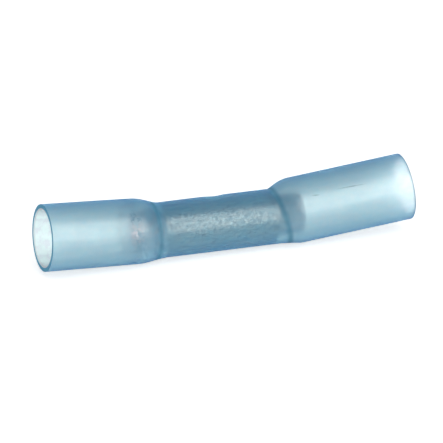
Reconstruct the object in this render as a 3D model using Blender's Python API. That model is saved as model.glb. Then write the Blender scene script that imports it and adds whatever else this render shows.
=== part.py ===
"""Heat-shrink butt splice connector, at its real size in metres, +Z up.

A tin-plated copper crimp barrel sits in the middle of a blue heat-shrink sleeve with a hot-melt
lining. The sleeve has been shrunk on at its middle, so it has a narrow neck that grips the barrel,
a shoulder over each end of the barrel and two wide mouths, which take the wires. Both mouths
stand a little off the barrel's axis. The connector lies on its two shoulders.
"""
import math

import bmesh
import bpy
from mathutils import Matrix, Vector

MM = 0.001

# Crimp barrel
BARREL_LENGTH = 16.5 * MM
BARREL_DIAMETER = 3.95 * MM
BARREL_WALL = 0.75 * MM
BARREL_EDGE_CHAMFER = 0.12 * MM
WIRE_ENTRY_DEPTH = 0.6 * MM
WIRE_ENTRY_FLARE = 0.35 * MM
GRIP_GROOVE_COUNT = 3
GRIP_GROOVE_START = 2.4 * MM
GRIP_GROOVE_PITCH = 1.3 * MM
GRIP_GROOVE_WIDTH = 0.6 * MM
GRIP_GROOVE_DEPTH = 0.15 * MM

# Wire stop, punched into the barrel at its middle, a little behind its top
STOP_PUNCH_DIAMETER = 2.0 * MM
STOP_PUNCH_DEPTH = 0.6 * MM
STOP_METAL_UNDER_PUNCH = 0.6 * MM
STOP_TURN = math.radians(28)

# Heat-shrink sleeve and its lining, as they are at the cut mouths
MOUTH_DIAMETER = 6.4 * MM
JACKET_WALL = 0.38 * MM
LINING_WALL = 0.12 * MM
LINING_SETBACK = 0.05 * MM

# Clearances between the layers
JACKET_TO_LINING_GAP = 0.02 * MM
LINING_TO_BARREL_GAP = 0.03 * MM

# Dip of the sleeve over the punch mark, and how far it spreads beside the mark's own radius
DIP_DEPTH = 0.1 * MM
DIP_SPREAD = 1.3

# Left and right ends of the sleeve, seen with the left mouth at -X
LEFT_MOUTH_LENGTH = 9.15 * MM
LEFT_SHOULDER_LENGTH = 2.8 * MM
LEFT_SHOULDER_DIAMETER = 6.26 * MM
LEFT_SHOULDER_RISE = 0.2 * MM
LEFT_SHOULDER_SLANT = 0.28 * MM
SLANT_FADE = 3 * MM
LEFT_BEND = math.radians(2.8)
LEFT_GRIP_INSET = 2.8 * MM
RIGHT_MOUTH_LENGTH = 11.14 * MM
RIGHT_SHOULDER_LENGTH = 2.5 * MM
RIGHT_SHOULDER_DIAMETER = 6.36 * MM
RIGHT_SHOULDER_RISE = 0.37 * MM
RIGHT_BEND = math.radians(5.6)
RIGHT_GRIP_INSET = 2.85 * MM

# Fineness of the surfaces
SIDES = 40
SHOULDER_STEPS = 8
DIP_STEPS = 6
PATH_RESOLUTION = 16
PUNCH_SEGMENTS = 24
PUNCH_RINGS = 14

SLEEVE_BLUE = "5A9DB8"
LINING_WHITE = "DDE9EE"
TINNED_COPPER = "B9BBBC"


def linear_colour(hex_code):
    """Turn an sRGB hex colour into the linear RGBA that a shader takes."""
    colour = []
    for start in (0, 2, 4):
        level = int(hex_code[start:start + 2], 16) / 255
        colour.append(level / 12.92 if level <= 0.04045 else ((level + 0.055) / 1.055) ** 2.4)
    return (*colour, 1.0)


def make_material(name, hex_code, roughness, metallic, transmission=0.0):
    """Return a Principled material."""
    material = bpy.data.materials.new(name)
    material.use_nodes = True
    shader = material.node_tree.nodes["Principled BSDF"]
    shader.inputs["Base Color"].default_value = linear_colour(hex_code)
    shader.inputs["Roughness"].default_value = roughness
    shader.inputs["Metallic"].default_value = metallic
    shader.inputs["Transmission Weight"].default_value = transmission
    material.diffuse_color = linear_colour(hex_code)
    return material


def make_collection(name):
    """Return a new collection in the scene."""
    collection = bpy.data.collections.new(name)
    bpy.context.scene.collection.children.link(collection)
    return collection


def hide_as_guide(guide):
    """Keep a cutter or a guide out of the finished part."""
    guide.hide_render = True
    guide.display_type = "WIRE"


def turned_outline(name, outline, collection, material):
    """Turn a closed outline of (along, radius, slant) points about the X axis.

    The outline runs to the right along the inner wall and back along the outer one. Each ring
    leans by its slant, its top to the left and its underside to the right. Its corners stand half
    a side off the vertical, so the lowest side is flat.
    """
    form = bmesh.new()
    rings = []
    for along, radius, slant in outline:
        turns = [(side + 0.5) * 2 * math.pi / SIDES for side in range(SIDES)]
        rings.append([
            form.verts.new((along - slant * math.cos(turn), radius * math.sin(turn), radius * math.cos(turn)))
            for turn in turns
        ])
    for ring, following in zip(rings, rings[1:] + rings[:1]):
        for side in range(SIDES):
            beyond = (side + 1) % SIDES
            form.faces.new((ring[side], following[side], following[beyond], ring[beyond]))
    bmesh.ops.recalc_face_normals(form, faces=form.faces)
    mesh = bpy.data.meshes.new(name)
    form.to_mesh(mesh)
    form.free()
    mesh.materials.append(material)
    mesh.shade_smooth()
    turned = bpy.data.objects.new(name, mesh)
    collection.objects.link(turned)
    return turned


def barrel_outline():
    """Return the barrel's section: chamfered ends, flared wire entries and grip grooves."""
    end = BARREL_LENGTH / 2
    outside = BARREL_DIAMETER / 2
    bore = outside - BARREL_WALL
    half = []
    for number in reversed(range(GRIP_GROOVE_COUNT)):
        middle = end - GRIP_GROOVE_START - number * GRIP_GROOVE_PITCH
        half.append((middle - GRIP_GROOVE_WIDTH / 2, bore))
        half.append((middle, bore + GRIP_GROOVE_DEPTH))
        half.append((middle + GRIP_GROOVE_WIDTH / 2, bore))
    half.append((end - WIRE_ENTRY_DEPTH, bore))
    half.append((end, bore + WIRE_ENTRY_FLARE))
    half.append((end, outside - BARREL_EDGE_CHAMFER))
    half.append((end - BARREL_EDGE_CHAMFER, outside))
    mirrored = [(-along, radius) for along, radius in reversed(half)]
    return [(along, radius, 0) for along, radius in half + mirrored]


def stop_way():
    """Return the way that the wire stop's punch mark faces."""
    return Vector((0, math.sin(STOP_TURN), math.cos(STOP_TURN)))


def add_ball(name, radius, height, collection):
    """Add a hidden ball over the barrel's middle, on the side of the wire stop."""
    ball = bmesh.new()
    bmesh.ops.create_uvsphere(ball, u_segments=PUNCH_SEGMENTS, v_segments=PUNCH_RINGS, radius=radius)
    mesh = bpy.data.meshes.new(name)
    ball.to_mesh(mesh)
    ball.free()
    tool = bpy.data.objects.new(name, mesh)
    tool.location = stop_way() * height
    collection.objects.link(tool)
    hide_as_guide(tool)
    return tool


def add_boolean(carved, tool, operation):
    """Cut, join or trim a mesh with a tool."""
    boolean = carved.modifiers.new(tool.name, "BOOLEAN")
    boolean.operation = operation
    boolean.solver = "EXACT"
    boolean.object = tool


def build_barrel(parts, tools):
    """Build the crimp barrel and punch the wire stop into its middle."""
    tinned = make_material("tinned_copper", TINNED_COPPER, roughness=0.35, metallic=1.0)
    barrel = turned_outline("crimp_barrel", barrel_outline(), parts, tinned)
    outside = BARREL_DIAMETER / 2
    punch_radius = STOP_PUNCH_DIAMETER / 2
    punch_height = outside - STOP_PUNCH_DEPTH + punch_radius
    bump = add_ball("stop_bump", punch_radius + STOP_METAL_UNDER_PUNCH, punch_height, tools)
    core_mesh = bpy.data.meshes.new("stop_core")
    core_form = bmesh.new()
    core_radius = outside - BARREL_WALL / 2
    bmesh.ops.create_cone(
        core_form, cap_ends=True, segments=SIDES, radius1=core_radius, radius2=core_radius,
        depth=4 * (punch_radius + STOP_METAL_UNDER_PUNCH), matrix=Matrix.Rotation(math.pi / 2, 4, "Y"),
    )
    core_form.to_mesh(core_mesh)
    core_form.free()
    core = bpy.data.objects.new("stop_core", core_mesh)
    tools.objects.link(core)
    hide_as_guide(core)
    add_boolean(bump, core, "INTERSECT")
    punch = add_ball("stop_punch", punch_radius, punch_height, tools)
    add_boolean(barrel, bump, "UNION")
    add_boolean(barrel, punch, "DIFFERENCE")
    return barrel, [bump, core, punch]


def layer_radii(outer_radius):
    """Return the jacket's and the lining's radii where the sleeve is this large.

    Shrinking moves no plastic along the sleeve, so each wall keeps its section's area and grows
    thicker as the sleeve grows narrower.
    """
    mouth = MOUTH_DIAMETER / 2
    jacket_area = mouth ** 2 - (mouth - JACKET_WALL) ** 2
    lining_mouth = mouth - JACKET_WALL - JACKET_TO_LINING_GAP
    lining_area = lining_mouth ** 2 - (lining_mouth - LINING_WALL) ** 2
    jacket_inside = math.sqrt(outer_radius ** 2 - jacket_area)
    lining_outside = jacket_inside - JACKET_TO_LINING_GAP
    lining_inside = math.sqrt(lining_outside ** 2 - lining_area)
    return outer_radius, jacket_inside, lining_outside, lining_inside


def neck_radius():
    """Return the sleeve's outer radius where it grips the barrel."""
    mouth = MOUTH_DIAMETER / 2
    jacket_area = mouth ** 2 - (mouth - JACKET_WALL) ** 2
    lining_mouth = mouth - JACKET_WALL - JACKET_TO_LINING_GAP
    lining_area = lining_mouth ** 2 - (lining_mouth - LINING_WALL) ** 2
    lining_inside = BARREL_DIAMETER / 2 + LINING_TO_BARREL_GAP
    lining_outside = math.sqrt(lining_inside ** 2 + lining_area)
    jacket_inside = lining_outside + JACKET_TO_LINING_GAP
    return math.sqrt(jacket_inside ** 2 + jacket_area)


def neck_length():
    """Return how much of the sleeve grips the barrel."""
    return BARREL_LENGTH - LEFT_GRIP_INSET - RIGHT_GRIP_INSET


def shoulder_stations(start, length, radius_before, radius_after):
    """Return (along, outer radius) down a smooth shoulder, both ends included."""
    stations = []
    for step in range(SHOULDER_STEPS + 1):
        share = step / SHOULDER_STEPS
        blend = share * share * (3 - 2 * share)
        stations.append((start + share * length, radius_before + blend * (radius_after - radius_before)))
    return stations


def stop_place():
    """Return how far along the sleeve the wire stop lies."""
    return LEFT_MOUTH_LENGTH + LEFT_SHOULDER_LENGTH + BARREL_LENGTH / 2 - LEFT_GRIP_INSET


def dip_radius():
    """Return the radius of the sleeve's dip over the punch mark."""
    punch_radius = STOP_PUNCH_DIAMETER / 2
    return DIP_SPREAD * math.sqrt(punch_radius ** 2 - (punch_radius - STOP_PUNCH_DEPTH) ** 2)


def slant_at(along):
    """Return how far a ring leans: fully on the left shoulder, fading out on both sides of it."""
    before = LEFT_MOUTH_LENGTH - along
    after = along - LEFT_MOUTH_LENGTH - LEFT_SHOULDER_LENGTH
    return LEFT_SHOULDER_SLANT * max(0, 1 - max(before, after, 0) / SLANT_FADE)


def sleeve_stations():
    """Return (along, outer radius) from the left mouth to the right one, along the sleeve."""
    mouth = MOUTH_DIAMETER / 2
    neck = neck_radius()
    right_shoulder = LEFT_MOUTH_LENGTH + LEFT_SHOULDER_LENGTH + neck_length()
    sleeve_end = right_shoulder + RIGHT_SHOULDER_LENGTH + RIGHT_MOUTH_LENGTH
    left = shoulder_stations(LEFT_MOUTH_LENGTH, LEFT_SHOULDER_LENGTH, LEFT_SHOULDER_DIAMETER / 2, neck)
    right = shoulder_stations(right_shoulder, RIGHT_SHOULDER_LENGTH, neck, RIGHT_SHOULDER_DIAMETER / 2)
    dip = [(stop_place() + dip_radius() * (2 * step / DIP_STEPS - 1), neck) for step in range(DIP_STEPS + 1)]
    return [(0, mouth)] + left + dip + right + [(sleeve_end, mouth)]


def layer_outline(outer, inner, setback):
    """Return one layer's section, with its ends set back from the sleeve's mouths."""
    stations = sleeve_stations()
    first, last = stations[0], stations[-1]
    stations[0] = (first[0] + setback, first[1])
    stations[-1] = (last[0] - setback, last[1])
    inside = [(along, layer_radii(radius)[inner], slant_at(along)) for along, radius in stations]
    outside = [(along, layer_radii(radius)[outer], slant_at(along)) for along, radius in reversed(stations)]
    return inside + outside


def press_dip(layer):
    """Sink a layer a little where it spans the wire stop's punch mark."""
    way = stop_way()
    middle = Vector((stop_place(), 0, 0))
    for vertex in layer.data.vertices:
        height = (vertex.co - middle).dot(way)
        aside = (vertex.co - middle - way * height).length
        if height > 0 and aside < dip_radius():
            vertex.co -= way * DIP_DEPTH * math.cos(math.pi / 2 * aside / dip_radius()) ** 2


def sleeve_path(tools):
    """Draw the sleeve's centre line: straight on the barrel, and off it by a bend at each shoulder."""
    grip_left = -BARREL_LENGTH / 2 + LEFT_GRIP_INSET
    grip_right = BARREL_LENGTH / 2 - RIGHT_GRIP_INSET
    left_way = Vector((math.cos(LEFT_BEND), 0, -math.sin(LEFT_BEND)))
    right_way = Vector((math.cos(RIGHT_BEND), 0, math.sin(RIGHT_BEND)))
    barrel_way = Vector((1, 0, 0))
    left_wide = Vector((grip_left - LEFT_SHOULDER_LENGTH, 0, LEFT_SHOULDER_RISE))
    right_wide = Vector((grip_right + RIGHT_SHOULDER_LENGTH, 0, RIGHT_SHOULDER_RISE))
    points = [
        (left_wide - left_way * LEFT_MOUTH_LENGTH, left_way),
        (left_wide, left_way),
        (Vector((grip_left, 0, 0)), barrel_way),
        (Vector((grip_right, 0, 0)), barrel_way),
        (right_wide, right_way),
        (right_wide + right_way * RIGHT_MOUTH_LENGTH, right_way),
    ]
    curve = bpy.data.curves.new("sleeve_path", "CURVE")
    curve.dimensions = "3D"
    curve.twist_mode = "Z_UP"
    curve.resolution_u = PATH_RESOLUTION
    curve.use_deform_bounds = False
    spline = curve.splines.new("BEZIER")
    spline.bezier_points.add(len(points) - 1)
    for number, (place, way) in enumerate(points):
        knot = spline.bezier_points[number]
        before = points[max(number - 1, 0)][0]
        after = points[min(number + 1, len(points) - 1)][0]
        knot.co = place
        knot.handle_left_type = "FREE"
        knot.handle_right_type = "FREE"
        knot.handle_left = place - way * (place - before).length / 3
        knot.handle_right = place + way * (after - place).length / 3
    path = bpy.data.objects.new("sleeve_path", curve)
    tools.objects.link(path)
    hide_as_guide(path)
    return path


def bend_along(layer, path):
    """Bend a straight turned layer along the sleeve's centre line."""
    bend = layer.modifiers.new("bent", "CURVE")
    bend.object = path
    bend.deform_axis = "POS_X"


def build_sleeve(parts, tools):
    """Build the blue jacket and the lining inside it."""
    blue = make_material("blue_polyolefin", SLEEVE_BLUE, roughness=0.3, metallic=0.0, transmission=0.4)
    white = make_material("hot_melt_adhesive", LINING_WHITE, roughness=0.45, metallic=0.0, transmission=0.4)
    path = sleeve_path(tools)
    jacket = turned_outline("heat_shrink_sleeve", layer_outline(0, 1, 0), parts, blue)
    lining = turned_outline("adhesive_lining", layer_outline(2, 3, LINING_SETBACK), parts, white)
    for layer in (jacket, lining):
        press_dip(layer)
        bend_along(layer, path)
    return jacket, lining, path


def lower_hull(points):
    """Return the lower side of the convex hull of (along, height) points, from left to right."""
    hull = []
    for point in sorted(points):
        while len(hull) > 1:
            first, second = hull[-2], hull[-1]
            rise = (second[0] - first[0]) * (point[1] - first[1])
            run = (second[1] - first[1]) * (point[0] - first[0])
            if rise - run > 0:
                break
            hull.pop()
        hull.append(point)
    return hull


def lay_down(carrier, jacket):
    """Tip the whole connector until both shoulders touch the ground, and centre it over the origin."""
    bpy.context.view_layer.update()
    shape = jacket.evaluated_get(bpy.context.evaluated_depsgraph_get()).to_mesh()
    places = [vertex.co.copy() for vertex in shape.vertices]
    hull = lower_hull([(place.x, place.z) for place in places])
    span = next(pair for pair in zip(hull, hull[1:]) if pair[0][0] <= 0 <= pair[1][0])
    (left, left_height), (right, right_height) = span
    pitch = math.atan2(right_height - left_height, right - left)
    turn = Matrix.Rotation(pitch, 3, "Y")
    turned = [turn @ place for place in places]
    lowest = min(place.z for place in turned)
    middle = (min(place.x for place in turned) + max(place.x for place in turned)) / 2
    carrier.rotation_euler = (0, pitch, 0)
    carrier.location = (-middle, 0, -lowest)


def build_connector():
    """Model the connector from an empty scene."""
    for old in list(bpy.data.objects):
        bpy.data.objects.remove(old, do_unlink=True)
    parts = make_collection("butt_splice_connector")
    tools = make_collection("tools")
    barrel, punches = build_barrel(parts, tools)
    jacket, lining, path = build_sleeve(parts, tools)
    carrier = bpy.data.objects.new("barrel_axis", None)
    tools.objects.link(carrier)
    lay_down(carrier, jacket)
    for piece in [barrel, *punches, jacket, lining, path]:
        piece.parent = carrier


build_connector()
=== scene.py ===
"""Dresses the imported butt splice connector.

It is a tinned crimp barrel in a translucent blue heat-shrink sleeve with an adhesive lining.
"""
import math

import bmesh
import bpy
from mathutils import Matrix, Vector


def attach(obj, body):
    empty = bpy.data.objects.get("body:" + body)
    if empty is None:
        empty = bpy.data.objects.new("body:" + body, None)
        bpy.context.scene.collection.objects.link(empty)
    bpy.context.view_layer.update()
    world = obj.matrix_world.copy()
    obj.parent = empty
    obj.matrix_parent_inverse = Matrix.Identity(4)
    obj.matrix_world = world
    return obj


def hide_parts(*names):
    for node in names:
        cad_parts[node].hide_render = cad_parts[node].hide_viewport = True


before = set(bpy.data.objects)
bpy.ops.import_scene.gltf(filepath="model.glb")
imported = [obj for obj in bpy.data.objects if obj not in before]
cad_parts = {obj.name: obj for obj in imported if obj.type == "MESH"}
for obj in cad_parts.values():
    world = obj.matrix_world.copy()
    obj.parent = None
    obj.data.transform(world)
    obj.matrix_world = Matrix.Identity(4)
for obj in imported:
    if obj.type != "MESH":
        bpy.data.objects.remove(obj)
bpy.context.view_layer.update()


# Crimp barrel
# A short copper tube with a thin matte tin plating, cut to length, chamfered and grooved inside. A
# punch mark at its middle, a little behind its top, pushes the wire stop into the bore.
MM = 0.001
barrel_length = 16.5 * MM
barrel_radius = 1.975 * MM
barrel_bore = 1.225 * MM
barrel_edge = 0.12 * MM
edge_roundness = 0.3
entry_depth = 0.6 * MM
entry_flare = 0.35 * MM
groove_places = (5.85 * MM, 4.55 * MM, 3.25 * MM)
groove_half_width = 0.3 * MM
groove_depth = 0.15 * MM
punch_radius = 1.0 * MM
punch_depth = 0.6 * MM
punch_angle = math.radians(28)
metal_under_punch = 0.6 * MM
stop_way = Vector((0, math.sin(punch_angle), math.cos(punch_angle)))
stop_core_length = 8 * MM
barrel_centre = Vector((-0.83786, 0, 2.86043)) * MM
barrel_pitch = math.radians(0.52465)
round_sides = 144
ball_sides, ball_rings = 64, 40
merge_distance = 0.002 * MM
smooth_below = math.radians(35)


def pull_outline(name, points):
    """Pull one vertex along an outline of (along, radius) points and close it into a loop."""
    bpy.ops.object.select_all(action="DESELECT")
    bpy.ops.mesh.primitive_plane_add(size=MM)
    outline = bpy.context.object
    outline.name = name
    bpy.ops.object.mode_set(mode="EDIT")
    bpy.ops.mesh.merge(type="CENTER")
    bpy.ops.transform.translate(value=(points[0][0], 0, points[0][1]))
    for (along, radius), (next_along, next_radius) in zip(points, points[1:]):
        step = (next_along - along, 0, next_radius - radius)
        bpy.ops.mesh.extrude_region_move(TRANSFORM_OT_translate={"value": step})
    bpy.ops.object.mode_set(mode="OBJECT")
    for number in (0, len(points) - 1):
        outline.data.vertices[number].select = True
    bpy.ops.object.mode_set(mode="EDIT")
    bpy.ops.mesh.edge_face_add()
    return outline


def spin_round():
    """Spin the outline in edit mode once round the X axis into a closed tube wall."""
    bpy.ops.mesh.select_all(action="SELECT")
    bpy.ops.mesh.spin(steps=round_sides, angle=2 * math.pi, center=(0, 0, 0), axis=(1, 0, 0))
    bpy.ops.mesh.select_all(action="SELECT")
    bpy.ops.mesh.remove_doubles(threshold=merge_distance)
    bpy.ops.mesh.normals_make_consistent(inside=False)
    bpy.ops.object.mode_set(mode="OBJECT")
    bpy.ops.object.shade_smooth_by_angle(angle=smooth_below)


def barrel_half():
    """Return the outline of the barrel's right half, from the bore's middle out to its edge."""
    end = barrel_length / 2
    half = []
    for middle in reversed(groove_places):
        half.append((middle - groove_half_width, barrel_bore))
        half.append((middle, barrel_bore + groove_depth))
        half.append((middle + groove_half_width, barrel_bore))
    half.append((end - entry_depth, barrel_bore))
    half.append((end, barrel_bore + entry_flare))
    half.append((end, barrel_radius - barrel_edge))
    corner = edge_roundness * barrel_edge
    half.append((end - corner, barrel_radius - corner))
    half.append((end - barrel_edge, barrel_radius))
    return half


right_half = barrel_half()
left_half = [(-along, radius) for along, radius in reversed(right_half)]
barrel = pull_outline("barrel", right_half + left_half)
spin_round()


def ball_tool(radius, height):
    """Add a ball over the barrel's middle, on the side of the wire stop."""
    bpy.ops.object.select_all(action="DESELECT")
    bpy.ops.mesh.primitive_uv_sphere_add(
        segments=ball_sides, ring_count=ball_rings, radius=radius, location=stop_way * height)
    bpy.ops.object.transform_apply(location=True, rotation=False, scale=False)
    return bpy.context.object


def apply_boolean(piece, tool, operation):
    """Cut, join or trim a piece with a tool, and apply it."""
    boolean = piece.modifiers.new("tool", "BOOLEAN")
    boolean.object = tool
    boolean.operation = operation
    boolean.solver = "EXACT"
    bpy.context.view_layer.objects.active = piece
    bpy.ops.object.modifier_apply(modifier="tool")


# The wire stop is a ball of metal that is trimmed to the middle of the barrel's wall.
punch_height = barrel_radius - punch_depth + punch_radius
stop_bump = ball_tool(punch_radius + metal_under_punch, punch_height)
bpy.ops.mesh.primitive_cylinder_add(
    vertices=round_sides, radius=(barrel_radius + barrel_bore) / 2, depth=stop_core_length,
    rotation=(0, math.pi / 2, 0),
)
stop_core = bpy.context.object
apply_boolean(stop_bump, stop_core, "INTERSECT")
punch = ball_tool(punch_radius, punch_height)
apply_boolean(barrel, stop_bump, "UNION")
apply_boolean(barrel, punch, "DIFFERENCE")
for tool in (stop_bump, stop_core, punch):
    bpy.data.objects.remove(tool)


def settle(piece):
    """Put a piece made round the barrel's axis into its resting place, and fix that in its mesh."""
    bpy.ops.object.select_all(action="DESELECT")
    piece.select_set(True)
    bpy.context.view_layer.objects.active = piece
    piece.matrix_world = Matrix.Translation(barrel_centre) @ Matrix.Rotation(barrel_pitch, 4, "Y")
    bpy.ops.object.transform_apply(location=True, rotation=True, scale=True)


def srgb(code):
    """Turn an sRGB hex colour into the linear colour that a shader takes."""
    colour = []
    for place in (0, 2, 4):
        level = int(code[place:place + 2], 16) / 255
        colour.append(level / 12.92 if level <= 0.04045 else ((level + 0.055) / 1.055) ** 2.4)
    return (*colour, 1)


def add_node(tree, kind, settings=(), links=()):
    """Add a node, set its sockets and properties, and link its inputs to other nodes' outputs."""
    node = tree.nodes.new(kind)
    for key, value in dict(settings).items():
        if isinstance(key, str) and hasattr(node, key):
            setattr(node, key, value)
        else:
            node.inputs[key].default_value = value
    for key, source in dict(links).items():
        tree.links.new(source, node.inputs[key])
    return node


def new_material(name):
    """Return a new material, its node tree and its empty output."""
    material = bpy.data.materials.new(name)
    material.use_nodes = True
    material.node_tree.nodes.clear()
    return material, material.node_tree, material.node_tree.nodes.new("ShaderNodeOutputMaterial")


def ring_mask(tree, place, centre, full, gone, lean=0):
    """Return a mask along X: 1 up to one distance from a centre, and 0 from another one on."""
    from_centre = add_node(tree, "ShaderNodeMapping", {
        "vector_type": "TEXTURE", "Location": centre, "Rotation": (0, lean, 0)},
        {"Vector": place.outputs["Object"]})
    line = add_node(tree, "ShaderNodeSeparateXYZ", {}, {"Vector": from_centre.outputs["Vector"]})
    away = add_node(tree, "ShaderNodeMath", {"operation": "ABSOLUTE"}, {0: line.outputs["X"]})
    ring = add_node(tree, "ShaderNodeMapRange", {
        "interpolation_type": "SMOOTHSTEP", "From Min": full, "From Max": gone,
        "To Min": 1.0, "To Max": 0.0}, {"Value": away.outputs[0]})
    return ring.outputs["Result"]


# Tin plate: satin grey metal with a fine grain. Its ends are painted paler, a painted highlight.
# The real grain is some hundredths of a millimetre. It is drawn as 0.28 mm, so that it shows.
tin_light = "B2BEC9"
tin_dark = "919CA5"
tin_end_highlight = "D8DBE4"
tin_roughness = 0.591
tin_grain = 0.28 * MM
tin_grain_height = 0.04 * MM
tin_grain_strength = 0.1
plain_tin_to = 5.4 * MM
highlight_full_from = 6.2 * MM
tin_plate, tree, output = new_material("matte tin plate on copper")
place = add_node(tree, "ShaderNodeTexCoord")
grain = add_node(tree, "ShaderNodeTexNoise", {
    "Scale": 1 / tin_grain, "Detail": 2.0, "Roughness": 0.6}, {"Vector": place.outputs["Object"]})
grain_bump = add_node(tree, "ShaderNodeBump", {
    "Strength": tin_grain_strength, "Distance": tin_grain_height},
    {"Height": grain.outputs["Fac"]})
tarnish = add_node(tree, "ShaderNodeMapRange", {"From Min": 0.35, "From Max": 0.65}, {
    "Value": grain.outputs["Fac"]})
tin_shade = add_node(tree, "ShaderNodeMix", {
    "data_type": "RGBA", 6: srgb(tin_dark), 7: srgb(tin_light)}, {0: tarnish.outputs["Result"]})
# The paler tin at both ends is a painted highlight.
unhighlit_middle = ring_mask(tree, place, barrel_centre, plain_tin_to, highlight_full_from)
painted_end_highlight = add_node(tree, "ShaderNodeMix", {"data_type": "RGBA", 6: srgb(tin_end_highlight)}, {
    0: unhighlit_middle, 7: tin_shade.outputs[2]})
tin = add_node(tree, "ShaderNodeBsdfPrincipled", {"Metallic": 1.0, "Roughness": tin_roughness}, {
    "Base Color": painted_end_highlight.outputs[2], "Normal": grain_bump.outputs["Normal"]})
tree.links.new(tin.outputs["BSDF"], output.inputs["Surface"])
barrel.data.materials.append(tin_plate)
settle(barrel)
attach(barrel, "root")
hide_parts("crimp_barrel")


# Adhesive lining
# A thin coat of hot-melt adhesive inside the sleeve, clear and waxy. It was extruded with the
# sleeve and wets the barrel in the neck, where the sleeve has been shrunk.
mouth_radius = 3.2 * MM
jacket_wall = 0.38 * MM
lining_wall = 0.12 * MM
lining_setback = 0.05 * MM
jacket_to_lining = 0.02 * MM
lining_to_barrel = 0.03 * MM
wetting = 0.006 * MM
wetting_sharpness = 8
left_mouth_length = 9.15 * MM
left_shoulder_length = 2.8 * MM
left_shoulder_radius = 3.13 * MM
left_shoulder_rise = 0.2 * MM
left_shoulder_slant = 0.28 * MM
slant_fade = 3 * MM
left_bend = math.radians(2.8)
left_grip_inset = 2.8 * MM
right_mouth_length = 11.14 * MM
right_shoulder_length = 2.5 * MM
right_shoulder_radius = 3.18 * MM
right_shoulder_rise = 0.37 * MM
right_bend = math.radians(5.6)
right_grip_inset = 2.85 * MM
neck_length = barrel_length - left_grip_inset - right_grip_inset
jacket_area = mouth_radius ** 2 - (mouth_radius - jacket_wall) ** 2
lining_mouth = mouth_radius - jacket_wall - jacket_to_lining
lining_area = lining_mouth ** 2 - (lining_mouth - lining_wall) ** 2
neck_lining = math.sqrt((barrel_radius + lining_to_barrel) ** 2 + lining_area)
neck_radius = math.sqrt((neck_lining + jacket_to_lining) ** 2 + jacket_area)
stop_place = left_mouth_length + left_shoulder_length + barrel_length / 2 - left_grip_inset
dip_depth = 0.1 * MM
dip_spread = 1.3
dip_radius = dip_spread * math.sqrt(punch_radius ** 2 - (punch_radius - punch_depth) ** 2)
dip_middle = 0.12 * MM
same_place = 0.001 * MM
left_steps, shoulder_steps, neck_steps, right_steps = 24, 24, 32, 28
path_steps = 32


def shoulder(start, length, before, after):
    """Return (along, outer radius) down a smooth shoulder."""
    stations = []
    for step in range(shoulder_steps + 1):
        share = step / shoulder_steps
        blend = share * share * (3 - 2 * share)
        stations.append((start + share * length, before + blend * (after - before)))
    return stations


def run(start, end, before, after, steps):
    """Return (along, outer radius) down a straight stretch, without its ends."""
    return [
        (start + (end - start) * step / steps, before + (after - before) * step / steps)
        for step in range(1, steps)
    ]


neck_start = left_mouth_length + left_shoulder_length
neck_end = neck_start + neck_length
right_start = neck_end + right_shoulder_length
sleeve_length = right_start + right_mouth_length
sleeve_stations = (
    [(0, mouth_radius)]
    + run(0, left_mouth_length, mouth_radius, left_shoulder_radius, left_steps)
    + shoulder(left_mouth_length, left_shoulder_length, left_shoulder_radius, neck_radius)
    + run(neck_start, neck_end, neck_radius, neck_radius, neck_steps)
    + shoulder(neck_end, right_shoulder_length, neck_radius, right_shoulder_radius)
    + run(right_start, sleeve_length, right_shoulder_radius, mouth_radius, right_steps)
    + [(sleeve_length, mouth_radius)]
)


def jacket_inside(outer):
    """Return the jacket's inner radius: its section keeps its area as it shrinks."""
    return math.sqrt(outer ** 2 - jacket_area)


def lining_inside(outer):
    """Return the lining's inner radius where the jacket is this large outside."""
    return math.sqrt((jacket_inside(outer) - jacket_to_lining) ** 2 - lining_area)


def choose(piece, wanted):
    """Select in edit mode the vertices that a test on their place takes."""
    form = bmesh.from_edit_mesh(piece.data)
    for vertex in form.verts:
        vertex.select_set(wanted(vertex.co))
    form.select_flush_mode()
    bmesh.update_edit_mesh(piece.data)


def over_punch(place):
    """Tell whether a place on the straight sleeve is over the middle of the punch mark."""
    beside = (place - Vector((stop_place, 0, 0))).cross(stop_way).length
    return place.dot(stop_way) > 0 and beside < dip_middle


def slant_and_dip(piece, stations):
    """Lean the left shoulder's rings, and press the dip over the punch mark into both walls."""
    bpy.ops.object.mode_set(mode="EDIT")
    bpy.ops.mesh.select_mode(type="VERT")
    for along, radius in stations:
        beside = max(left_mouth_length - along, along - neck_start, 0)
        lean = left_shoulder_slant * max(0, 1 - beside / slant_fade) / radius
        if lean > 0:
            choose(piece, lambda place: abs(place.x - along) < same_place)
            bpy.ops.transform.rotate(value=lean, orient_axis="Y", center_override=(along, 0, 0))
    choose(piece, over_punch)
    bpy.ops.transform.translate(
        value=stop_way * -dip_depth, use_proportional_edit=True,
        proportional_edit_falloff="SMOOTH", proportional_size=dip_radius)
    bpy.ops.object.mode_set(mode="OBJECT")


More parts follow.
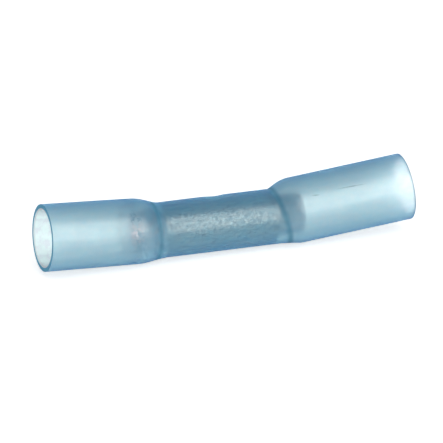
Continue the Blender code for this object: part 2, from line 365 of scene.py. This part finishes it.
def bend_on_path(piece):
    """Bend a straight layer along the sleeve's centre line, which turns at each shoulder."""
    grip_left = -barrel_length / 2 + left_grip_inset
    grip_right = barrel_length / 2 - right_grip_inset
    left_way = Vector((math.cos(left_bend), 0, -math.sin(left_bend)))
    right_way = Vector((math.cos(right_bend), 0, math.sin(right_bend)))
    along = Vector((1, 0, 0))
    left_wide = Vector((grip_left - left_shoulder_length, 0, left_shoulder_rise))
    right_wide = Vector((grip_right + right_shoulder_length, 0, right_shoulder_rise))
    knots = [
        (left_wide - left_way * left_mouth_length, left_way),
        (left_wide, left_way),
        (Vector((grip_left, 0, 0)), along),
        (Vector((grip_right, 0, 0)), along),
        (right_wide, right_way),
        (right_wide + right_way * right_mouth_length, right_way),
    ]
    bpy.ops.object.select_all(action="DESELECT")
    bpy.ops.curve.primitive_bezier_curve_add()
    path = bpy.context.object
    path.data.twist_mode = "Z_UP"
    path.data.resolution_u = path_steps
    spline = path.data.splines[0]
    spline.bezier_points.add(len(knots) - 2)
    for number, (place, way) in enumerate(knots):
        knot = spline.bezier_points[number]
        before = knots[max(number - 1, 0)][0]
        after = knots[min(number + 1, len(knots) - 1)][0]
        knot.handle_left_type = "FREE"
        knot.handle_right_type = "FREE"
        knot.co = place
        knot.handle_left = place - way * (place - before).length / 3
        knot.handle_right = place + way * (after - place).length / 3
    bend = piece.modifiers.new("bend", "CURVE")
    bend.object = path
    bend.deform_axis = "POS_X"
    bpy.ops.object.select_all(action="DESELECT")
    piece.select_set(True)
    bpy.context.view_layer.objects.active = piece
    bpy.ops.object.modifier_apply(modifier="bend")
    bpy.data.objects.remove(path)


def trimmed(setback):
    """Return the sleeve's stations with both ends set back from the mouths."""
    first, last = sleeve_stations[0], sleeve_stations[-1]
    start = (first[0] + setback, first[1])
    end = (last[0] - setback, last[1])
    return [start] + sleeve_stations[1:-1] + [end]


def neck_share(outer):
    """Return 1 where the sleeve grips the barrel and 0 where it is wide."""
    return max(0.0, min(1.0, (mouth_radius - outer) / (mouth_radius - neck_radius)))


lining_stations = trimmed(lining_setback)
lining_inner = []
for along, outer in lining_stations:
    grip = neck_share(outer) ** wetting_sharpness
    lining_inner.append((along, lining_inside(outer) - grip * (lining_to_barrel + wetting)))
lining_outer = [
    (along, jacket_inside(outer) + wetting) for along, outer in reversed(lining_stations)]
lining = pull_outline("lining", lining_inner + lining_outer)
spin_round()


def mark_faces(piece):
    """Mark with 1 the faces that look at the piece's axis, and those at its cut ends."""
    faces_in = -0.5
    faces_along = 0.9
    inside = piece.data.attributes.new("inside", "FLOAT", "FACE")
    cut = piece.data.attributes.new("cut", "FLOAT", "FACE")
    for face in piece.data.polygons:
        across = Vector((0, face.center.y, face.center.z))
        inside.data[face.index].value = float(face.normal.dot(across) < faces_in * across.length)
        cut.data[face.index].value = float(abs(face.normal.x) > faces_along)


def add_depth(tree, output, taken):
    """Fill the piece with a clear tint that takes this much red, green and blue on each metre."""
    # A little over the largest, so that no channel of the tint's colour is 0.
    most = max(taken) * 1.001
    depth = add_node(tree, "ShaderNodeVolumeAbsorption", {
        "Color": [1 - level / most for level in taken] + [1], "Density": most})
    tree.links.new(depth.outputs["Volume"], output.inputs["Volume"])


def patch_mask(tree, place, centre, reach, turn=(0, 0, 0)):
    """Return a mask that is 1 at a centre and fades to 0 at its reach along each axis."""
    from_centre = add_node(tree, "ShaderNodeMapping", {
        "vector_type": "TEXTURE", "Location": centre, "Rotation": turn, "Scale": reach},
        {"Vector": place.outputs["Object"]})
    patch = add_node(tree, "ShaderNodeTexGradient", {"gradient_type": "SPHERICAL"},
                     {"Vector": from_centre.outputs["Vector"]})
    return patch.outputs["Fac"]


# Hot-melt adhesive: nearly clear wax. The faces against the jacket are smooth, because the layers
# are fused there, and the inner faces blur what shows through and are faintly mottled with pink.
blue_bend = 1.421
melt_clear = "FFFFFF"
melt_pink = "F0E2EC"
melt_colour = "F0EEF4"
melt_roughness = 0.322
melt_haze = 0.005
melt_depth = (20, 10, 5)
mottle_size = 0.7 * MM
ragged_share = 0.5
ragged_size = 0.6 * MM
ragged_place = Vector((-9.65, 0, 3.2)) * MM
ragged_reach = (1.2 * MM, 9 * MM, 9 * MM)
hot_melt, tree, output = new_material("waxy hot-melt adhesive")
side = add_node(tree, "ShaderNodeAttribute", {"attribute_name": "inside"})
place = add_node(tree, "ShaderNodeTexCoord")
mottle = add_node(tree, "ShaderNodeTexNoise", {
    "Scale": 1 / mottle_size, "Detail": 3.0, "Roughness": 0.6},
    {"Vector": place.outputs["Object"]})
mottling = add_node(tree, "ShaderNodeMapRange", {"From Min": 0.4, "From Max": 0.6}, {
    "Value": mottle.outputs["Fac"]})
melt_tint = add_node(tree, "ShaderNodeMix", {
    "data_type": "RGBA", 6: srgb(melt_clear), 7: srgb(melt_pink)}, {0: mottling.outputs["Result"]})
bonded = add_node(tree, "ShaderNodeBsdfPrincipled", {
    "Base Color": srgb(melt_clear), "Roughness": 0.0, "IOR": blue_bend,
    "Transmission Weight": 1.0})
melt = add_node(tree, "ShaderNodeBsdfPrincipled", {
    "Roughness": melt_roughness, "IOR": blue_bend, "Transmission Weight": 1.0},
    {"Base Color": melt_tint.outputs[2]})
# Where the adhesive starts on the barrel at the left, it has a ragged white edge.
ragged_band = patch_mask(tree, place, ragged_place, ragged_reach)
ragged_noise = add_node(tree, "ShaderNodeTexNoise", {
    "Scale": 1 / ragged_size, "Detail": 4.0, "Roughness": 0.75},
    {"Vector": place.outputs["Object"]})
ragged_sum = add_node(tree, "ShaderNodeMath", {"operation": "ADD"}, {
    0: ragged_band, 1: ragged_noise.outputs["Fac"]})
melt_patches = add_node(tree, "ShaderNodeMapRange", {
    "From Min": 1.0, "From Max": 1.12, "To Min": melt_haze, "To Max": ragged_share},
    {"Value": ragged_sum.outputs[0]})
melt_white = add_node(tree, "ShaderNodeBsdfDiffuse", {"Color": srgb(melt_colour)})
melt_mix = add_node(tree, "ShaderNodeMixShader", {}, {
    0: melt_patches.outputs["Result"], 1: melt.outputs[0], 2: melt_white.outputs[0]})
melt_faces = add_node(tree, "ShaderNodeMixShader", {}, {
    0: side.outputs["Fac"], 1: bonded.outputs[0], 2: melt_mix.outputs[0]})
end = add_node(tree, "ShaderNodeAttribute", {"attribute_name": "cut"})
melt_ends = add_node(tree, "ShaderNodeMixShader", {}, {
    0: end.outputs["Fac"], 1: melt_faces.outputs[0], 2: melt_white.outputs[0]})
tree.links.new(melt_ends.outputs[0], output.inputs["Surface"])
add_depth(tree, output, melt_depth)
# The lining has this one material, and marks on its faces tell its sides apart, because Cycles
# leaves a tint switched on outside a solid that holds two tinted materials.
lining.data.materials.append(hot_melt)
mark_faces(lining)
slant_and_dip(lining, lining_stations)
bend_on_path(lining)
settle(lining)
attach(lining, "root")
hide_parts("adhesive_lining")


# Heat-shrink jacket
# Blue cross-linked polyolefin, extruded as a tube, expanded, cut square and shrunk in its middle
# with hot air. It is smooth, a little frosted and deeper in colour where its wall is seen edge on.
jacket_inner = [(along, jacket_inside(outer)) for along, outer in sleeve_stations]
jacket_outer = list(reversed(sleeve_stations))
jacket = pull_outline("jacket", jacket_inner + jacket_outer)
spin_round()

# Blue polyolefin: a clear blue depth under a frosted skin with a soft gloss. The skin has a little
# blue of its own and a blue sheen, so the sleeve is deepest in colour where it is seen edge on.
blue_depth = (371, 0, 57)
clear_colour = "FFFFFF"
streak_colour = "F0F6F6"
skin_colour = "00DAFF"
skin_share = 0.089
glow_colour = "C1E3FF"
glow_share = 0.118
frost_roughness = 0.36
frost_spread = 0.06
sheen_colour = "0085E0"
sheen_roughness = 0.713
gloss_colour = "FFF9ED"
gloss_share = 0.069
gloss_roughness = 0.345
streak_width = 0.5 * MM
streak_stretch = 0.12
cloud_size = 0.6 * MM
polyolefin, tree, output = new_material("frosted blue polyolefin")
side = add_node(tree, "ShaderNodeAttribute", {"attribute_name": "inside"})
place = add_node(tree, "ShaderNodeTexCoord")
# Extrusion leaves faint streaks along the tube, and shrinking leaves faint clouds.
drawn_out = add_node(tree, "ShaderNodeMapping", {"Scale": (streak_stretch, 1, 1)}, {
    "Vector": place.outputs["Object"]})
streaks = add_node(tree, "ShaderNodeTexNoise", {"Scale": 1 / streak_width, "Detail": 3.0},
                   {"Vector": drawn_out.outputs["Vector"]})
clouds = add_node(tree, "ShaderNodeTexNoise", {
    "Scale": 1 / cloud_size, "Detail": 4.0, "Roughness": 0.7}, {"Vector": place.outputs["Object"]})
frost = add_node(tree, "ShaderNodeMapRange", {
    "From Min": 0.3, "From Max": 0.7, "To Min": frost_roughness - frost_spread,
    "To Max": frost_roughness + frost_spread}, {"Value": clouds.outputs["Fac"]})
cloudy = add_node(tree, "ShaderNodeMapRange", {
    "From Min": 0.3, "From Max": 0.7, "To Min": skin_share * 0.4, "To Max": skin_share * 1.6},
    {"Value": clouds.outputs["Fac"]})
tint = add_node(tree, "ShaderNodeMapRange", {"From Min": 0.35, "From Max": 0.65}, {
    "Value": streaks.outputs["Fac"]})
blue_tint = add_node(tree, "ShaderNodeMix", {
    "data_type": "RGBA", 6: srgb(clear_colour), 7: srgb(streak_colour)},
    {0: tint.outputs["Result"]})
clear = add_node(tree, "ShaderNodeBsdfPrincipled", {
    "IOR": blue_bend, "Transmission Weight": 1.0, "Sheen Weight": 1.0,
    "Sheen Roughness": sheen_roughness, "Sheen Tint": srgb(sheen_colour)},
    {"Roughness": frost.outputs["Result"], "Base Color": blue_tint.outputs[2]})
through = add_node(tree, "ShaderNodeBsdfTranslucent", {"Color": srgb(glow_colour)})
milk = add_node(tree, "ShaderNodeMixShader", {0: glow_share}, {
    1: clear.outputs[0], 2: through.outputs[0]})
skin = add_node(tree, "ShaderNodeBsdfDiffuse", {"Color": srgb(skin_colour)})
body = add_node(tree, "ShaderNodeMixShader", {}, {
    0: cloudy.outputs["Result"], 1: milk.outputs[0], 2: skin.outputs[0]})
# Over the barrel the skin shows the grain of the tin under it, so the gloss sparkles there. The
# sparkle is as fine as that grain. It is drawn as 0.3 mm, so that it shows.
sparkle_size = 0.3 * MM
sparkle_to = 5.12 * MM
even_from = 6.08 * MM
neck_zone = ring_mask(tree, place, barrel_centre, sparkle_to, even_from)
sparkle = add_node(tree, "ShaderNodeTexNoise", {
    "Scale": 1 / sparkle_size, "Detail": 2.0, "Roughness": 0.7},
    {"Vector": place.outputs["Object"]})
grainy = add_node(tree, "ShaderNodeMapRange", {
    "From Min": 0.36, "From Max": 0.64, "To Min": gloss_share * 0.55, "To Max": gloss_share * 1.9},
    {"Value": sparkle.outputs["Fac"]})
even = add_node(tree, "ShaderNodeMapRange", {
    "From Min": 0.3, "From Max": 0.7, "To Min": gloss_share * 0.6, "To Max": gloss_share * 1.4},
    {"Value": streaks.outputs["Fac"]})
gloss_map = add_node(tree, "ShaderNodeMix", {}, {
    0: neck_zone, 2: even.outputs["Result"], 3: grainy.outputs["Result"]})
skin_gloss = add_node(tree, "ShaderNodeBsdfAnisotropic", {
    "Color": srgb(gloss_colour), "Roughness": gloss_roughness})
glossed = add_node(tree, "ShaderNodeMixShader", {}, {
    0: gloss_map.outputs[0], 1: body.outputs[0], 2: skin_gloss.outputs[0]})

# Two faint grey scuffs lie along the right wide part, on the side that faces the camera.
scuff_colour = "5E7C86"
scuff_lines = (
    (Vector((7.6, -2.38, 5.36)) * MM, Vector((8.8, -2.38, 5.45)) * MM, 0.09 * MM),
    (Vector((10.2, -2.27, 5.70)) * MM, Vector((13.6, -2.35, 5.89)) * MM, 0.08 * MM),
)
scuffs = []
for start, finish, half_width in scuff_lines:
    along = finish - start
    scuffs.append(patch_mask(
        tree, place, (start + finish) / 2, (along.length / 2, half_width, half_width),
        along.to_track_quat("X", "Z").to_euler()))
both_scuffs = add_node(tree, "ShaderNodeMath", {"operation": "ADD"}, {0: scuffs[0], 1: scuffs[1]})
broken = add_node(tree, "ShaderNodeMath", {"operation": "MULTIPLY", "use_clamp": True}, {
    0: both_scuffs.outputs[0], 1: clouds.outputs["Fac"]})
scuff_grey = add_node(tree, "ShaderNodeBsdfDiffuse", {"Color": srgb(scuff_colour)})
scuffed = add_node(tree, "ShaderNodeMixShader", {}, {
    0: broken.outputs[0], 1: glossed.outputs[0], 2: scuff_grey.outputs[0]})

# On the side that faces the camera the adhesive has a ragged start, which shows through the sleeve
# as pale flecks; higher up the flecks are deep blue. The frosted skin would blur it, so it is drawn
# on that.
fleck_pale = "F4EFF6"
fleck_deep = "3A7FA0"
fleck_strength = 0.75
fleck_size = 0.4 * MM
fleck_place = Vector((-9.8, -2.6, 4.3)) * MM
fleck_reach = (0.9 * MM, 2.4 * MM, 2.0 * MM)
pale_below = 4.8 * MM
deep_above = 5.2 * MM
start_patch = patch_mask(tree, place, fleck_place, fleck_reach)
flecks = add_node(tree, "ShaderNodeTexNoise", {
    "Scale": 1 / fleck_size, "Detail": 3.0, "Roughness": 0.7}, {"Vector": place.outputs["Object"]})
fleck_edge = add_node(tree, "ShaderNodeMapRange", {
    "From Min": 0.47, "From Max": 0.57, "To Min": 0.0, "To Max": fleck_strength},
    {"Value": flecks.outputs["Fac"]})
fleck_share = add_node(tree, "ShaderNodeMath", {"operation": "MULTIPLY"}, {
    0: start_patch, 1: fleck_edge.outputs["Result"]})
fleck_height = add_node(tree, "ShaderNodeSeparateXYZ", {}, {"Vector": place.outputs["Object"]})
fleck_side = add_node(tree, "ShaderNodeMapRange", {"From Min": pale_below, "From Max": deep_above},
                      {"Value": fleck_height.outputs["Z"]})
fleck_blue = add_node(tree, "ShaderNodeMix", {
    "data_type": "RGBA", 6: srgb(fleck_pale), 7: srgb(fleck_deep)},
    {0: fleck_side.outputs["Result"]})
fleck_skin = add_node(tree, "ShaderNodeBsdfDiffuse", {}, {"Color": fleck_blue.outputs[2]})
flecked = add_node(tree, "ShaderNodeMixShader", {}, {
    0: fleck_share.outputs[0], 1: scuffed.outputs[0], 2: fleck_skin.outputs[0]})

# In the corner below each shoulder a deeper blue ring is painted, a painted shade of the crease.
# The right one leans, with its foot away from the barrel's middle.
crease_shade_colour = "2E7C98"
crease_shade_share = 0.45
crease_half_width = 0.45 * MM
left_crease_place = Vector((-7.35 * MM, 0, barrel_centre.z))
right_crease_place = Vector((5.38 * MM, 0, barrel_centre.z))
right_crease_lean = math.radians(-14)
left_crease = ring_mask(tree, place, left_crease_place, 0, crease_half_width)
right_crease = ring_mask(
    tree, place, right_crease_place, 0, crease_half_width, right_crease_lean)
creases = add_node(tree, "ShaderNodeMath", {"operation": "ADD"}, {
    0: left_crease, 1: right_crease})
painted_crease_shade = add_node(tree, "ShaderNodeMath", {"operation": "MULTIPLY", 1: crease_shade_share}, {
    0: creases.outputs[0]})
crease_shade_bsdf = add_node(tree, "ShaderNodeBsdfDiffuse", {"Color": srgb(crease_shade_colour)})
crease_shaded = add_node(tree, "ShaderNodeMixShader", {}, {
    0: painted_crease_shade.outputs[0], 1: flecked.outputs[0], 2: crease_shade_bsdf.outputs[0]})
bonded = add_node(tree, "ShaderNodeBsdfPrincipled", {
    "Base Color": srgb(clear_colour), "Roughness": 0.0, "IOR": blue_bend,
    "Transmission Weight": 1.0})
faces = add_node(tree, "ShaderNodeMixShader", {}, {
    0: side.outputs["Fac"], 1: crease_shaded.outputs[0], 2: bonded.outputs[0]})

# The cut ends are matte and show the full blue of the wall.
cut_colour = "66B0D0"
cut_share = 0.7
end = add_node(tree, "ShaderNodeAttribute", {"attribute_name": "cut"})
end_share = add_node(tree, "ShaderNodeMath", {"operation": "MULTIPLY", 1: cut_share}, {
    0: end.outputs["Fac"]})
end_blue = add_node(tree, "ShaderNodeBsdfDiffuse", {"Color": srgb(cut_colour)})
ended = add_node(tree, "ShaderNodeMixShader", {}, {
    0: end_share.outputs[0], 1: faces.outputs[0], 2: end_blue.outputs[0]})
tree.links.new(ended.outputs[0], output.inputs["Surface"])
add_depth(tree, output, blue_depth)
jacket.data.materials.append(polyolefin)
mark_faces(jacket)
slant_and_dip(jacket, sleeve_stations)
bend_on_path(jacket)
settle(jacket)
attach(jacket, "root")
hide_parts("heat_shrink_sleeve")


# Floor
# A plain white table top, wide enough to fill the picture. It is white to the camera and keeps the
# shadow of the connector.
floor_size = 4.0
bpy.ops.object.select_all(action="DESELECT")
bpy.ops.mesh.primitive_plane_add(size=floor_size)
floor = bpy.context.object
floor.name = "floor"


def beyond_mask(tree, place, way, start):
    """Return a mask that is 0 up to a distance this way from the middle, and 1 just beyond."""
    reach = add_node(tree, "ShaderNodeVectorMath", {"operation": "DOT_PRODUCT", 1: way}, {
        0: place.outputs["Object"]})
    mask = add_node(tree, "ShaderNodeMapRange", {
        "interpolation_type": "SMOOTHSTEP", "From Min": start, "From Max": start + through_glow_edge},
        {"Value": reach.outputs["Value"]})
    return mask.outputs["Result"]


# White table top: matte. Seen through the sleeve its glow is painted white in front and darker
# behind, a painted shade, so the upper side of the sleeve stands out against it. That glow is
# nearly as white beside both mouths.
table_colour = "E7E7E7"
table_glow = "FFFFFF"
light_to_camera = 0.62
light_in_metal = 0.196
through_glow_front = 0.87
through_glow_behind = 0.152
through_glow_beside = 0.75
fade_from = 3.8 * MM
fade_to = 20.6 * MM
through_glow_edge = 0.8 * MM
right_way = (0.975, -0.222, 0)
right_reach = 17.6 * MM
left_way = (-0.943, 0.333, 0)
left_reach = 16.1 * MM
table_white, tree, output = new_material("white table top")
matte = add_node(tree, "ShaderNodeBsdfDiffuse", {"Color": srgb(table_colour)})
rays = add_node(tree, "ShaderNodeLightPath")
place = add_node(tree, "ShaderNodeTexCoord")
floor_line = add_node(tree, "ShaderNodeSeparateXYZ", {}, {"Vector": place.outputs["Object"]})
fade = add_node(tree, "ShaderNodeMapRange", {
    "interpolation_type": "SMOOTHSTEP", "From Min": fade_from, "From Max": fade_to,
    "To Min": through_glow_front, "To Max": through_glow_behind}, {"Value": floor_line.outputs["Y"]})
right_side = beyond_mask(tree, place, right_way, right_reach)
left_side = beyond_mask(tree, place, left_way, left_reach)
both_sides = add_node(tree, "ShaderNodeMath", {"operation": "ADD", "use_clamp": True}, {
    0: right_side, 1: left_side})
through_glow = add_node(tree, "ShaderNodeMix", {3: through_glow_beside}, {
    0: both_sides.outputs[0], 2: fade.outputs["Result"]})
camera_light = add_node(tree, "ShaderNodeMath", {"operation": "MULTIPLY", 1: light_to_camera}, {
    0: rays.outputs["Is Camera Ray"]})
seen_light = add_node(tree, "ShaderNodeMath", {"operation": "MULTIPLY_ADD"}, {
    0: rays.outputs["Is Transmission Ray"], 1: through_glow.outputs[0], 2: camera_light.outputs[0]})
all_light = add_node(tree, "ShaderNodeMath", {"operation": "MULTIPLY_ADD", 1: light_in_metal}, {
    0: rays.outputs["Is Glossy Ray"], 2: seen_light.outputs[0]})
glow = add_node(tree, "ShaderNodeEmission", {"Color": srgb(table_glow)}, {
    "Strength": all_light.outputs[0]})
top = add_node(tree, "ShaderNodeAddShader", {}, {0: matte.outputs[0], 1: glow.outputs[0]})
tree.links.new(top.outputs[0], output.inputs["Surface"])
floor.data.materials.append(table_white)


# Studio light and camera
# A white room that is a little darker overhead, one soft lamp in front and to the right, and a
# camera with a long lens at the angle of the photo.
room_colour = "FFFFFF"
low_light = 0.66
high_light = 0.521
dim_from = 0.179
dim_to = 0.549
world = bpy.data.worlds.new("studio")
bpy.context.scene.world = world
world.use_nodes = True
tree = world.node_tree
way = add_node(tree, "ShaderNodeTexCoord")
height = add_node(tree, "ShaderNodeSeparateXYZ", {}, {"Vector": way.outputs["Generated"]})
fall = add_node(tree, "ShaderNodeMapRange", {
    "interpolation_type": "SMOOTHSTEP", "From Min": dim_from, "From Max": dim_to,
    "To Min": low_light, "To Max": high_light}, {"Value": height.outputs["Z"]})
room = tree.nodes["Background"]
room.inputs["Color"].default_value = srgb(room_colour)
tree.links.new(fall.outputs["Result"], room.inputs["Strength"])

photo_size = 443
view_azimuth = math.radians(-19.45)
view_elevation = math.radians(21.85)
view_distance = 600 * MM
pixels_per_mm = 10.533
neck_middle = Vector((-0.938, 0, 2.862)) * MM
middle_to_right = 0.517 * MM
middle_to_top = 0.162 * MM
right = Vector((math.cos(view_azimuth), math.sin(view_azimuth), 0))
back = Vector((
    math.sin(view_azimuth) * math.cos(view_elevation),
    -math.cos(view_azimuth) * math.cos(view_elevation),
    math.sin(view_elevation),
))
up = back.cross(right)
picture_middle = neck_middle + right * middle_to_right + up * middle_to_top
bpy.ops.object.camera_add(location=picture_middle + back * view_distance)
camera = bpy.context.object
camera.rotation_euler = back.to_track_quat("Z", "Y").to_euler()
camera.data.lens = camera.data.sensor_width * view_distance / (photo_size / pixels_per_mm * MM)
camera.data.clip_start = 10 * MM
camera.data.clip_end = 20
bpy.context.scene.camera = camera

# The key light stands where the barrel's axis mirrors it to the camera, so that its soft streak
# runs along the whole connector.
key_rise = math.radians(33.4)
key_way = Vector((
    -math.sin(view_azimuth) * math.cos(key_rise),
    -math.cos(view_azimuth) * math.cos(key_rise),
    math.sin(key_rise),
))
key_distance = 300 * MM
key_width = 202 * MM
key_height = 352 * MM
key_glow = 2.24
bpy.ops.object.light_add(type="AREA", location=picture_middle + key_way * key_distance)
key = bpy.context.object
key.rotation_euler = key_way.to_track_quat("Z", "Y").to_euler()
key.data.shape = "RECTANGLE"
key.data.size = key_width
key.data.size_y = key_height
key.data.energy = key_glow * math.pi * key_width * key_height

bpy.context.scene.view_settings.view_transform = "Standard"
